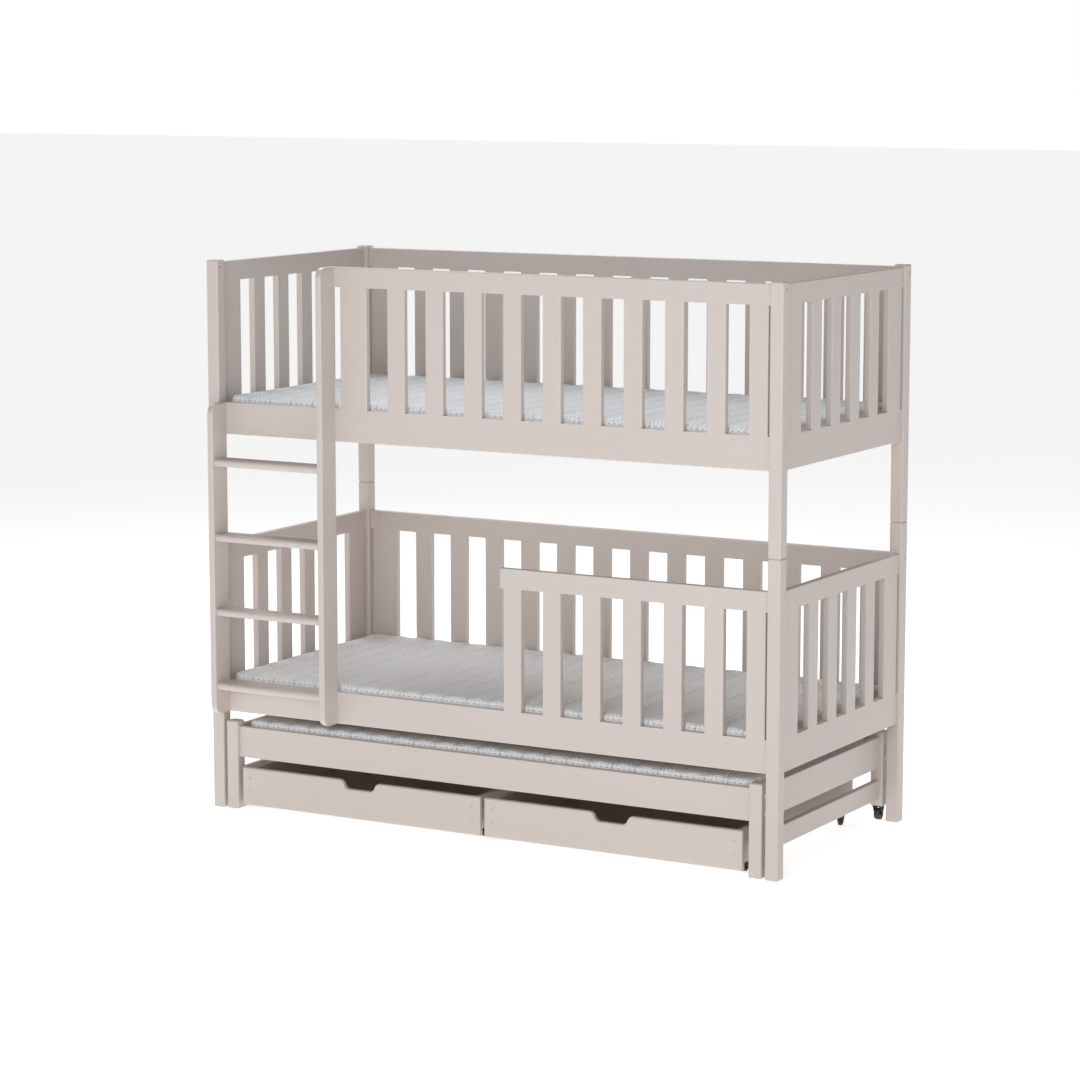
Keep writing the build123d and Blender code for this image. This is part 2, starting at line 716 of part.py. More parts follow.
def finger_notch(middle):
    """Outline of the notch: a flat bottom between two S curves of two equal arcs each."""
    rise = notch_depth
    sweep = (notch_top_width - notch_bottom_width) / 2
    top = drawer_front_top
    edge = notch_top_width / 2
    flat = notch_bottom_width / 2
    over = top + drawer_front_round
    radius = (sweep ** 2 + rise ** 2) / (4 * rise)
    left_turn = (middle - edge + sweep / 2, top - rise / 2)
    right_turn = (middle + edge - sweep / 2, top - rise / 2)
    outline = Line((middle - edge, over), (middle - edge, top))
    outline += RadiusArc((middle - edge, top), left_turn, radius)
    outline += RadiusArc(left_turn, (middle - flat, top - rise), -radius)
    outline += Line((middle - flat, top - rise), (middle + flat, top - rise))
    outline += RadiusArc((middle + flat, top - rise), right_turn, -radius)
    outline += RadiusArc(right_turn, (middle + edge, top), radius)
    outline += Line((middle + edge, top), (middle + edge, over))
    outline += Line((middle + edge, over), (middle - edge, over))
    return make_face(outline)


drawer_starts = {
    "left": drawer_gap_middle - drawer_gap / 2 - drawer_width,
    "right": drawer_gap_middle + drawer_gap / 2,
}

for name, x0 in drawer_starts.items():
    x1 = x0 + drawer_width
    front_y = front + drawer_front_setback
    box_y = front_y + drawer_front_thickness
    end_y = drawer_end

    # Bottom panel, let into grooves all round
    floor_z = drawer_caster_height + drawer_bottom_rise
    box_inset = drawer_side_inset + drawer_side_thickness
    inside_x = (x0 + box_inset, x1 - box_inset)
    groove = drawer_groove_depth
    slack = drawer_groove_clearance
    panel_x = (inside_x[0] - groove + slack, inside_x[1] + groove - slack)
    panel_y = (box_y - groove + slack, end_y - drawer_side_thickness + groove - slack)
    panel = block(panel_x, panel_y, (floor_z, floor_z + drawer_bottom_thickness))
    groove_x = (inside_x[0] - groove, inside_x[1] + groove)
    groove_y = (box_y - groove, end_y - drawer_side_thickness + groove)
    groove_tool = block(groove_x, groove_y, (floor_z - slack, floor_z + drawer_bottom_thickness + slack))
    save(f"drawer_{name}_bottom", panel)

    # Front board with its finger notch
    board = block((x0, x1), (front_y, box_y), (drawer_front_bottom, drawer_front_top))
    notch = Pos(0, box_y + drawer_front_round, 0) * extrude(
        Plane.XZ * finger_notch((x0 + x1) / 2), drawer_front_thickness + 2 * drawer_front_round)
    board -= notch
    faces = board.faces().filter_by(Axis.Y)
    board = fillet([edge for face in faces for edge in face.edges()], drawer_front_round)
    save(f"drawer_{name}_front", board - groove_tool)

    # Sides and back
    side_z = (drawer_caster_height, drawer_front_top - drawer_side_drop)
    left_x = (inside_x[0] - drawer_side_thickness, inside_x[0])
    right_x = (inside_x[1], inside_x[1] + drawer_side_thickness)
    boards = [plank(x, (box_y, end_y), side_z, Axis.Y, edge_radius) for x in (left_x, right_x)]
    boards.append(plank(inside_x, (end_y - drawer_side_thickness, end_y), side_z, Axis.X, edge_radius))
    save(f"drawer_{name}_box", *[board - groove_tool for board in boards])

    # Casters screwed under the sides
    caster_x = (inside_x[0] - drawer_side_thickness / 2, inside_x[1] + drawer_side_thickness / 2)
    caster_y = {"front": front_y + drawer_caster_front, "rear": end_y - drawer_caster_back}
    brackets = []
    for row, y in caster_y.items():
        places = [Pos(x, y, 0) for x in caster_x]
        brackets += [place * drawer_caster for place in places]
        save(f"drawer_{name}_wheels_{row}", *[place * drawer_wheel for place in places])
    save(f"drawer_{name}_caster_brackets", *brackets)
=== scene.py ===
"""Bunk bed with a trundle bed and two drawers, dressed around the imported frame."""
import math

import bmesh
import bpy
from mathutils import Matrix, Vector


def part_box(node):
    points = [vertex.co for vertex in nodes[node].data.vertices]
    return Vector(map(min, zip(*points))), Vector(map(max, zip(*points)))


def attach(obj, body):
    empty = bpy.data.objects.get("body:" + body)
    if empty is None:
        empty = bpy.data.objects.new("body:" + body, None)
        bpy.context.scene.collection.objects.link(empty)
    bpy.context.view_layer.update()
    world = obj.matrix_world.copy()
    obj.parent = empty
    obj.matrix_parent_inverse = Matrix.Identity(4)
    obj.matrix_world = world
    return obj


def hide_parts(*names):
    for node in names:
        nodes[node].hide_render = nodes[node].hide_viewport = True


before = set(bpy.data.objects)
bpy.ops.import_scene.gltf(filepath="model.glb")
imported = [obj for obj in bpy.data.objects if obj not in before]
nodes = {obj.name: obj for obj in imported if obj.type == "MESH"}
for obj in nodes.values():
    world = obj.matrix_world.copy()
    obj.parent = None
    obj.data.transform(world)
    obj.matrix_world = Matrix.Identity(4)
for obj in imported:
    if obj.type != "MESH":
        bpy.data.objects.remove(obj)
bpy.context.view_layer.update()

# Painted boards: posts, slatted panels, rails, guards, ladder, trundle box and drawers
# Solid wood, planed, with rounded edges, sprayed with a satin greige lacquer in two coats.
# The grain runs along each board and only just shows through as fine lines.


class Signal:
    """A socket of a finish. Arithmetic on it adds the Math nodes."""

    def __init__(self, finish, socket):
        self.finish = finish
        self.socket = socket

    def maths(self, operation, *values):
        return self.finish.node("ShaderNodeMath", {"operation": operation}, dict(enumerate(values)))

    def __add__(self, other):
        return self.maths("ADD", self, other)

    def __radd__(self, other):
        return self.maths("ADD", other, self)

    def __sub__(self, other):
        return self.maths("SUBTRACT", self, other)

    def __rsub__(self, other):
        return self.maths("SUBTRACT", other, self)

    def __mul__(self, other):
        return self.maths("MULTIPLY", self, other)

    def __rmul__(self, other):
        return self.maths("MULTIPLY", other, self)

    def __truediv__(self, other):
        return self.maths("DIVIDE", self, other)

    def __rtruediv__(self, other):
        return self.maths("DIVIDE", other, self)

    def __lt__(self, other):
        return self.maths("LESS_THAN", self, other)

    def __gt__(self, other):
        return self.maths("GREATER_THAN", self, other)

    def __abs__(self):
        return self.maths("ABSOLUTE", self)


class Finish:
    """A procedural material around one Principled shader."""

    def __init__(self, name):
        self.material = bpy.data.materials.new(name)
        self.material.use_nodes = True
        self.tree = self.material.node_tree
        self.shader = self.tree.nodes["Principled BSDF"]

    def wire(self, node, sockets):
        for name, value in sockets.items():
            if isinstance(value, Signal):
                self.tree.links.new(value.socket, node.inputs[name])
            else:
                node.inputs[name].default_value = value

    def node(self, kind, settings, sockets, output=0):
        """Add a node, its settings first and then its sockets, and return one of its outputs."""
        made = self.tree.nodes.new(kind)
        for name, value in settings.items():
            setattr(made, name, value)
        self.wire(made, sockets)
        return Signal(self, made.outputs[output])

    def coat(self, sockets):
        """Set the shader's own sockets and return the material."""
        self.wire(self.shader, sockets)
        return self.material


lacquer_pale = (0.636, 0.573, 0.537, 1)
lacquer_deep = (0.600, 0.539, 0.503, 1)
lacquer_gloss = 0.34
grain_along = 1.6
grain_across = 95.0
fibre_across = 420.0


def lacquered_wood(name, direction):
    """Lacquer over wood whose grain runs along X, Y or Z."""
    finish = Finish(name)
    place = finish.node("ShaderNodeTexCoord", {}, {}, "Object")
    wander = finish.node("ShaderNodeTexNoise", {}, {"Vector": place, "Scale": 2.4, "Detail": 1.0})
    lines = Vector([grain_along if axis == direction else grain_across for axis in "XYZ"])
    threads = Vector([grain_along * 3 if axis == direction else fibre_across for axis in "XYZ"])
    drawn = finish.node("ShaderNodeMapping", {}, {"Vector": place, "Scale": lines})
    fine = finish.node("ShaderNodeMapping", {}, {"Vector": place, "Scale": threads})
    figure = finish.node("ShaderNodeTexNoise", {}, {"Vector": drawn, "Scale": 1.0, "Detail": 3.0,
                                                    "Distortion": 0.6})
    pores = finish.node("ShaderNodeTexNoise", {}, {"Vector": fine, "Scale": 1.0, "Detail": 2.0})
    spray = finish.node("ShaderNodeTexNoise", {}, {"Vector": place, "Scale": 620.0, "Detail": 2.0})
    tone = figure * 0.45 + wander * 0.35 + pores * 0.2
    colour = finish.node("ShaderNodeMix", {"data_type": "RGBA"},
                         {0: tone, 6: lacquer_deep, 7: lacquer_pale}, 2)
    height = figure * 0.5 + pores * 0.3 + spray * 0.2
    relief = finish.node("ShaderNodeBump", {}, {"Height": height, "Strength": 0.22, "Distance": 0.0006})
    gloss = lacquer_gloss - 0.05 + figure * 0.06 + spray * 0.04
    return finish.coat({"Base Color": colour, "Roughness": gloss, "Normal": relief,
                        "Specular IOR Level": 0.45})


def dress(name, material):
    """Give a CAD node its finish."""
    nodes[name].data.materials.clear()
    nodes[name].data.materials.append(material)


lacquer = {direction: lacquered_wood(f"greige_lacquer_grain_{direction.lower()}", direction)
           for direction in "XYZ"}
upright = ["post_", "_slats", "stile_", "trundle_posts"]
crosswise = ["end_left_rails", "end_right_rails", "trundle_end_rails", "left_box", "right_box"]
for name in nodes:
    if any(word in name for word in upright):
        dress(name, lacquer["Z"])
    elif any(word in name for word in crosswise):
        dress(name, lacquer["Y"])
    elif any(word in name for word in ("rail", "rungs", "drawer_left_front", "drawer_right_front")):
        dress(name, lacquer["X"])

# Slatted bases and their ledges
# Bare planed spruce: each slat is cut from another board, so its rings and its tone differ.
# The ledges are screwed to the side rails, and the slats to the ledges.

spruce_early = (0.74, 0.56, 0.36, 1)
spruce_late = (0.52, 0.33, 0.17, 1)
spruce_rings = 330.0
spruce_pith_depth = 0.055


def bare_spruce(name, direction, board_pitch):
    """Spruce with growth rings round a pith that runs along X or Y under each board."""
    finish = Finish(name)
    place = finish.node("ShaderNodeTexCoord", {}, {}, "Object")
    axes = {axis: finish.node("ShaderNodeSeparateXYZ", {}, {0: place}, axis) for axis in "XYZ"}
    across = axes["Y" if direction == "X" else "X"]
    board = finish.node("ShaderNodeMath", {"operation": "FLOOR"}, {0: across / board_pitch})
    chance = finish.node("ShaderNodeTexWhiteNoise", {"noise_dimensions": "1D"}, {"W": board})
    stretch = Vector([2.0 if axis == direction else 9.0 for axis in "XYZ"])
    bent = finish.node("ShaderNodeMapping", {}, {"Vector": place, "Scale": stretch})
    sway = finish.node("ShaderNodeTexNoise", {}, {"Vector": bent, "Scale": 1.0, "Detail": 2.0})
    side = across - (board + chance) * board_pitch + sway * 0.012
    deep = axes["Z"] * 0.0 + spruce_pith_depth + sway * 0.02
    radius = finish.node("ShaderNodeMath", {"operation": "SQRT"}, {0: side * side + deep * deep})
    ring = finish.node("ShaderNodeMath", {"operation": "FRACT"}, {0: (radius + chance) * spruce_rings})
    late = ring * ring * ring
    hair = Vector([12.0 if axis == direction else 600.0 for axis in "XYZ"])
    fine = finish.node("ShaderNodeMapping", {}, {"Vector": place, "Scale": hair})
    fibre = finish.node("ShaderNodeTexNoise", {}, {"Vector": fine, "Scale": 1.0, "Detail": 2.0})
    tone = late * 0.55 + fibre * 0.25 + chance * 0.15
    colour = finish.node("ShaderNodeMix", {"data_type": "RGBA"},
                         {0: tone, 6: spruce_early, 7: spruce_late}, 2)
    height = fibre * 0.6 - late * 0.4
    relief = finish.node("ShaderNodeBump", {}, {"Height": height, "Strength": 0.3, "Distance": 0.0004})
    return finish.coat({"Base Color": colour, "Roughness": 0.6 + fibre * 0.15, "Normal": relief})


slat_spruce = bare_spruce("spruce_slats", "Y", 0.07)
ledge_spruce = bare_spruce("spruce_ledges", "X", 0.05)
for name in ("upper_base_slats", "lower_base_slats", "trundle_base_slats"):
    dress(name, slat_spruce)
for name in ("base_ledges", "trundle_base_ledges"):
    dress(name, ledge_spruce)

# Drawer bottoms
# Thin plywood let into grooves, rolled with one thin coat of the same greige paint.
# The veneer's grain telegraphs through, and the middle is a little scuffed.

panel_pale = (0.50, 0.445, 0.405, 1)
panel_deep = (0.42, 0.370, 0.335, 1)

ply = Finish("rolled_plywood")
ply_place = ply.node("ShaderNodeTexCoord", {}, {}, "Object")
ply_drawn = ply.node("ShaderNodeMapping", {}, {"Vector": ply_place, "Scale": Vector((3.0, 46.0, 46.0))})
ply_veneer = ply.node("ShaderNodeTexNoise", {}, {"Vector": ply_drawn, "Scale": 1.0, "Detail": 4.0,
                                                 "Distortion": 1.2})
ply_scuffs = ply.node("ShaderNodeTexNoise", {}, {"Vector": ply_place, "Scale": 22.0, "Detail": 5.0,
                                                 "Roughness": 0.7})
ply_nap = ply.node("ShaderNodeTexNoise", {}, {"Vector": ply_place, "Scale": 380.0, "Detail": 1.0})
ply_colour = ply.node("ShaderNodeMix", {"data_type": "RGBA"},
                      {0: ply_veneer * 0.7 + ply_scuffs * 0.3, 6: panel_deep, 7: panel_pale}, 2)
ply_relief = ply.node("ShaderNodeBump", {}, {"Height": ply_veneer * 0.6 + ply_nap * 0.4, "Strength": 0.3,
                                             "Distance": 0.0005})
ply.coat({"Base Color": ply_colour, "Roughness": 0.5 + ply_scuffs * 0.2, "Normal": ply_relief})
for name in ("drawer_left_bottom", "drawer_right_bottom"):
    dress(name, ply.material)

# Bolts, barrel nuts and post pins
# Zinc plated steel: pressed heads with a hexagon socket, sunk in counterbores, and turned nuts.
# The plating is bright with a faint blotchy bloom and fine turning marks.

zinc_bright = (0.85, 0.83, 0.81, 1)
zinc_dull = (0.68, 0.67, 0.66, 1)

zinc = Finish("zinc_plating")
zinc_place = zinc.node("ShaderNodeTexCoord", {}, {}, "Object")
zinc_bloom = zinc.node("ShaderNodeTexNoise", {}, {"Vector": zinc_place, "Scale": 240.0, "Detail": 3.0})
zinc_lines = zinc.node("ShaderNodeTexNoise", {}, {"Vector": zinc_place, "Scale": 2600.0, "Detail": 1.0})
zinc_colour = zinc.node("ShaderNodeMix", {"data_type": "RGBA"},
                        {0: zinc_bloom, 6: zinc_dull, 7: zinc_bright}, 2)
zinc_relief = zinc.node("ShaderNodeBump", {}, {"Height": zinc_lines, "Strength": 0.25, "Distance": 0.00005})
zinc.coat({"Base Color": zinc_colour, "Metallic": 1.0, "Roughness": 0.26 + zinc_bloom * 0.2,
           "Normal": zinc_relief})
for name in ("frame_bolts", "barrel_nuts", "post_pins", "trundle_bolts"):
    dress(name, zinc.material)

# Casters
# Black nylon housings moulded with a fine spark texture, on black wheels with a harder tread.
# The treads pick up pale dust where they roll.

nylon_black = (0.009, 0.009, 0.010, 1)
nylon_worn = (0.020, 0.019, 0.018, 1)
tread_dust = (0.10, 0.095, 0.09, 1)
tread_start = 0.0022
tread_full = 0.0004

housing = Finish("black_nylon_housing")
housing_place = housing.node("ShaderNodeTexCoord", {}, {}, "Object")
housing_spark = housing.node("ShaderNodeTexVoronoi", {},
                             {"Vector": housing_place, "Scale": 1700.0}, "Distance")
housing_rub = housing.node("ShaderNodeTexNoise", {},
                           {"Vector": housing_place, "Scale": 90.0, "Detail": 4.0})
housing_colour = housing.node("ShaderNodeMix", {"data_type": "RGBA"},
                              {0: housing_rub, 6: nylon_black, 7: nylon_worn}, 2)
housing_relief = housing.node("ShaderNodeBump", {}, {"Height": housing_spark, "Strength": 0.35,
                                                     "Distance": 0.0001})
housing.coat({"Base Color": housing_colour, "Roughness": 0.5 + housing_rub * 0.15, "Normal": housing_relief,
              "Specular IOR Level": 0.3})
for name in ("trundle_caster_brackets", "drawer_left_caster_brackets", "drawer_right_caster_brackets"):
    dress(name, housing.material)


def rolling_wheel(node):
    """A wheel's nylon, dusty on the tread, from the distance to its own axle."""
    low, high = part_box(node)
    axle = (Vector(low) + Vector(high)) / 2
    radius = (high[2] - low[2]) / 2
    finish = Finish(node + "_nylon")
    place = finish.node("ShaderNodeTexCoord", {}, {}, "Object")
    centred = finish.node("ShaderNodeMapping", {}, {"Vector": place,
                                                    "Location": Vector((0, -axle.y, -axle.z))})
    flat = finish.node("ShaderNodeVectorMath", {"operation": "MULTIPLY"},
                       {0: centred, 1: Vector((0, 1, 1))})
    reach = finish.node("ShaderNodeVectorMath", {"operation": "LENGTH"}, {0: flat}, "Value")
    rub = finish.node("ShaderNodeTexNoise", {}, {"Vector": centred, "Scale": 160.0, "Detail": 4.0})
    tread = finish.node("ShaderNodeMapRange", {}, {"Value": reach, "From Min": radius - tread_start,
                                                   "From Max": radius - tread_full})
    dust = tread * (0.15 + rub * 0.5)
    colour = finish.node("ShaderNodeMix", {"data_type": "RGBA"},
                         {0: dust, 6: nylon_black, 7: tread_dust}, 2)
    relief = finish.node("ShaderNodeBump", {}, {"Height": rub, "Strength": 0.3, "Distance": 0.0002})
    return finish.coat({"Base Color": colour, "Roughness": 0.35 + dust * 0.8, "Normal": relief})


for name in nodes:
    if "wheels" in name:
        dress(name, rolling_wheel(name))

# Caster screws
# Zinc plated pan head screws with a cross recess, two along the outer side of each plate.
# They hold the plates to the blocks and posts of the trundle and to the drawer sides.

plate_thickness = 0.002
pan_radius = 0.0026
pan_rise = 0.0012
cross_length = 0.0028
cross_width = 0.0007
cross_depth = 0.0007
pan_side_inset = pan_radius * 1.3
pan_end_inset = pan_radius * 1.4


def turned(profile, steps):
    """A round head on the plane z = 0: its profile is spun, and its underside filled."""
    shape = bmesh.new()
    points = [shape.verts.new(point) for point in profile]
    edges = [shape.edges.new(pair) for pair in zip(points, points[1:])]
    bmesh.ops.spin(shape, geom=points + edges, cent=(0, 0, 0), axis=(0, 0, 1), angle=math.tau,
                   steps=steps, use_merge=True)
    bmesh.ops.remove_doubles(shape, verts=shape.verts, dist=1e-7)
    bmesh.ops.contextual_create(shape, geom=[edge for edge in shape.edges if edge.is_boundary])
    bmesh.ops.recalc_face_normals(shape, faces=shape.faces)
    return shape


def screw_head(radius, rise):
    """A domed head with a cross laid over its crown."""
    shape = turned([(0, 0, rise), (radius * 0.55, 0, rise * 0.86), (radius * 0.9, 0, rise * 0.5),
                    (radius, 0, 0)], 16)
    for turn in (0, math.pi / 2):
        slot = bmesh.ops.create_cube(shape, size=1)["verts"]
        bmesh.ops.scale(shape, verts=slot, vec=(cross_length, cross_width, cross_depth))
        bmesh.ops.rotate(shape, verts=slot, cent=(0, 0, 0), matrix=Matrix.Rotation(turn, 3, "Z"))
        bmesh.ops.translate(shape, verts=slot, vec=(0, 0, rise - cross_depth * 0.35))
    return shape


def set_out(name, pattern, places, material, body):
    """Repeat a small shape at a list of places, as one piece that rides on a body."""
    whole = bmesh.new()
    stamp = bpy.data.meshes.new(name + "_stamp")
    pattern.to_mesh(stamp)
    for place in places:
        fresh = len(whole.verts)
        whole.from_mesh(stamp)
        whole.verts.ensure_lookup_table()
        bmesh.ops.transform(whole, matrix=place, verts=whole.verts[fresh:])
    bpy.data.meshes.remove(stamp)
    return hang(name, whole, material, body)


def hang(name, shape, material, body):
    """Turn a bmesh into a piece of the bed."""
    mesh = bpy.data.meshes.new(name)
    shape.to_mesh(mesh)
    shape.free()
    mesh.materials.append(material)
    piece = bpy.data.objects.new(name, mesh)
    bpy.context.scene.collection.objects.link(piece)
    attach(piece, body)
    return piece


def plate_corners(bracket, wheels):
    """Places on the underside of the plates, at their outer corners beside each pair of wheels."""
    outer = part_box(bracket)
    underside = outer[1][2] - plate_thickness
    wheel_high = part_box(wheels[-1])[1]
    plate_half = outer[1][1] - wheel_high[1] + wheel_high[2] / 2
    found = []
    for wheel in wheels:
        low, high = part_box(wheel)
        middle = (low[1] + high[1]) / 2
        for face, inward in ((outer[0][0], 1), (outer[1][0], -1)):
            for side in (-1, 1):
                along = middle + side * (plate_half - pan_end_inset)
                spot = (face + inward * pan_side_inset, along, underside)
                found.append(Matrix.Translation(spot) @ Matrix.Rotation(math.pi, 4, "X"))
    return found


pan_head = screw_head(pan_radius, pan_rise)
set_out("trundle_caster_screws", pan_head, plate_corners("trundle_caster_brackets",
        ["trundle_wheels_front", "trundle_wheels_rear"]), zinc.material, "trundle")
for side in ("left", "right"):
    set_out(f"drawer_{side}_caster_screws", pan_head,
            plate_corners(f"drawer_{side}_caster_brackets",
                          [f"drawer_{side}_wheels_front", f"drawer_{side}_wheels_rear"]),
            zinc.material, f"drawer_{side}")

# Base slat screws
# Countersunk zinc screws, one at each end of every slat, drive it down on to its ledge.
# Their heads sit just proud of the spruce.

slat_count = 12
sunk_radius = 0.0036
sunk_rise = 0.0004
screw_inset = 0.011
half_slat = 0.035

sunk_head = screw_head(sunk_radius, sunk_rise)
levels = (("upper", "bed_frame"), ("lower", "bed_frame"), ("trundle", "trundle"))
for level, body in levels:
    node = f"{level}_base_slats"
    low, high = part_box(node)
    pitch = (high[0] - low[0] - 2 * half_slat) / (slat_count - 1)
    places = []
    for place in range(slat_count):
        for y in (low[1] + screw_inset, high[1] - screw_inset):
            places.append(Matrix.Translation((low[0] + half_slat + place * pitch, y, high[2])))
    set_out(node + "_screws", sunk_head, places, zinc.material, body)

# Drawer front screw caps
# The front boards are screwed to the drawer sides from outside. Each screw is hidden by
# a low round plastic cap in the colour of the lacquer, two to each end of a front.

cap_radius = 0.0048
cap_rise = 0.0016
cap_spacing = 0.036
cap_inset = 0.027
cap_height = 0.064
cap_deep = (0.55, 0.492, 0.458, 1)

cap_finish = Finish("greige_cap_plastic")
cap_place = cap_finish.node("ShaderNodeTexCoord", {}, {}, "Object")
cap_mottle = cap_finish.node("ShaderNodeTexNoise", {}, {"Vector": cap_place, "Scale": 320.0, "Detail": 2.0})
cap_colour = cap_finish.node("ShaderNodeMix", {"data_type": "RGBA"},
                             {0: cap_mottle, 6: cap_deep, 7: lacquer_deep}, 2)
cap_relief = cap_finish.node("ShaderNodeBump", {}, {"Height": cap_mottle, "Strength": 0.15,
                                                    "Distance": 0.0001})
cap_finish.coat({"Base Color": cap_colour, "Roughness": 0.3 + cap_mottle * 0.1, "Normal": cap_relief})

for side in ("left", "right"):
    low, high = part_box(f"drawer_{side}_front")
    cap = turned([(0, 0, cap_rise), (cap_radius * 0.6, 0, cap_rise * 0.85),
                  (cap_radius * 0.92, 0, cap_rise * 0.45), (cap_radius, 0, 0)], 24)
    bmesh.ops.rotate(cap, verts=cap.verts, cent=(0, 0, 0), matrix=Matrix.Rotation(math.pi / 2, 3, "X"))
    spots = []
    for x in (low[0] + cap_inset, high[0] - cap_inset):
        for step in (-1, 1):
            spots.append(Matrix.Translation((x, low[1], low[2] + cap_height + step * cap_spacing / 2)))
    set_out(f"drawer_{side}_screw_caps", cap, spots, cap_finish.material, f"drawer_{side}")

# Mattresses
# A foam core in a quilted white knit cover: sewn channels cross the top, fine slanted stitch lines fill
# them,
# and a border panel with a row of short stitches goes round the sides. Shade is painted into the knit's
# colour:
# grey-blue in the seam grooves, along the ripples of the stitch lines and in the hollows between the puffs.

channel_pitch = 0.073
stitch_pitch = channel_pitch / 4
channel_columns = 6
row_pitch = 0.012
border_drop = 0.009
top_shoulder = 0.016
soft_corner = 0.024
seam_half = 0.004
seam_depth = 0.02
border_catch = 0.002
base_catch = 0.004
swell_room = 0.0020
swell_cap = 0.0022
cover_pressure = 4.0
stitch_lean = math.radians(16)
stripe_pitch = 0.012
dash_drop = 0.0122
dash_half = 0.0012
dash_share = 0.42
tick_half = 0.018
tick_reach = 0.006
knit_white = (0.92, 0.95, 0.98, 1)
# the grey-blue of painted shade, which the white knit is darkened towards in its grooves and ripples
knit_painted_shade = (0.60, 0.64, 0.68, 1)
stitch_grey = (0.30, 0.31, 0.33, 1)


def mattress_blank(low, high):
    """A block with soft corners, cut into even columns and rows, a little smaller than its CAD solid."""
    shape = bmesh.new()
    size = Vector(high) - Vector(low)
    middle = (Vector(low) + Vector(high)) / 2
    bmesh.ops.create_cube(shape, size=1)
    room = Vector((swell_room, swell_room, swell_room / 2)) * 2
    bmesh.ops.scale(shape, verts=shape.verts, vec=size - room)
    upright_edges = [edge for edge in shape.edges if abs(edge.verts[0].co.z - edge.verts[1].co.z) > 0.01]
    bmesh.ops.bevel(shape, geom=upright_edges, offset=soft_corner, offset_type="OFFSET", affect="EDGES",
                    segments=4, profile=0.5, material=-1)
    rims = [edge for edge in shape.edges if abs(edge.verts[0].co.z - edge.verts[1].co.z) < 1e-6]
    bmesh.ops.bevel(shape, geom=rims, offset=border_drop, offset_type="OFFSET", affect="EDGES",
                    segments=3, profile=0.5, material=-1)
    columns = round(size.x / channel_pitch) * channel_columns
    cuts = [(size.x * (step / columns - 0.5), (1, 0, 0)) for step in range(1, columns)]
    rows = round(size.y / row_pitch)
    cuts += [(size.y * (step / rows - 0.5), (0, 1, 0)) for step in range(1, rows)]
    depth = size.z - 2 * border_drop
    belts = round(depth / row_pitch)
    cuts += [(depth * (step / belts - 0.5), (0, 0, 1)) for step in range(1, belts)]
    for distance, normal in cuts:
        geometry = shape.verts[:] + shape.edges[:] + shape.faces[:]
        bmesh.ops.bisect_plane(shape, geom=geometry, dist=1e-6, plane_co=Vector(normal) * distance,
                               plane_no=normal)
    bmesh.ops.remove_doubles(shape, verts=shape.verts, dist=1e-5)
    bmesh.ops.translate(shape, verts=shape.verts, vec=middle)
    return shape


def sewn_down(point, low, high):
    """How firmly a point is held: fully at a channel seam or the border's seam, not at all between."""
    columns = round((high[0] - low[0]) / channel_pitch)
    across = (point.x - low[0]) / (high[0] - low[0]) * columns
    at_channel = abs(across - round(across)) * channel_pitch < seam_half and point.z > high[2] - seam_depth
    at_border = abs(point.z - (high[2] - swell_room / 2 - border_drop)) < border_catch
    underneath = point.z < low[2] + base_catch
    return 1.0 if at_channel or at_border or underneath else 0.0


def swell(piece, low, high):
    """Blow the cover up from inside, hold its seams, and keep each point near where it started."""
    held = piece.vertex_groups.new(name="seams")
    for vertex in piece.data.vertices:
        held.add([vertex.index], sewn_down(vertex.co, low, high), "REPLACE")
    start = [vertex.co.copy() for vertex in piece.data.vertices]
    cloth = piece.modifiers.new("cover", "CLOTH")
    cloth.settings.quality = 4
    cloth.settings.mass = 0.2
    cloth.settings.tension_stiffness = 12
    cloth.settings.compression_stiffness = 12
    cloth.settings.shear_stiffness = 4
    cloth.settings.bending_stiffness = 0.4
    cloth.settings.shrink_min = -0.012
    cloth.settings.use_pressure = True
    cloth.settings.uniform_pressure_force = cover_pressure
    cloth.settings.vertex_group_mass = "seams"
    cloth.settings.effector_weights.gravity = 0
    for step in range(1, 21):
        bpy.context.scene.frame_set(step)
    swollen = piece.evaluated_get(bpy.context.evaluated_depsgraph_get()).to_mesh()
    ends = [vertex.co.copy() for vertex in swollen.vertices]
    piece.to_mesh_clear()
    piece.modifiers.remove(cloth)
    bpy.context.scene.frame_set(1)
    for vertex, first, last in zip(piece.data.vertices, start, ends):
        move = last - first
        vertex.co = first + move * min(1.0, swell_cap / max(move.length, 1e-9))


def mark_border(piece, low, high):
    """Two attributes for the cover's pattern: the way round the sides, and the drop below the top."""
    around = piece.data.attributes.new("around", "FLOAT", "POINT")
    drop = piece.data.attributes.new("drop", "FLOAT", "POINT")
    for vertex in piece.data.vertices:
        x, y, z = vertex.co
        to_side = min(y - low[1], high[1] - y)
        to_end = min(x - low[0], high[0] - x)
        around.data[vertex.index].value = x - low[0] if to_side < to_end else y - low[1]
        drop.data[vertex.index].value = high[2] - z if min(to_side, to_end) < top_shoulder else 0.0


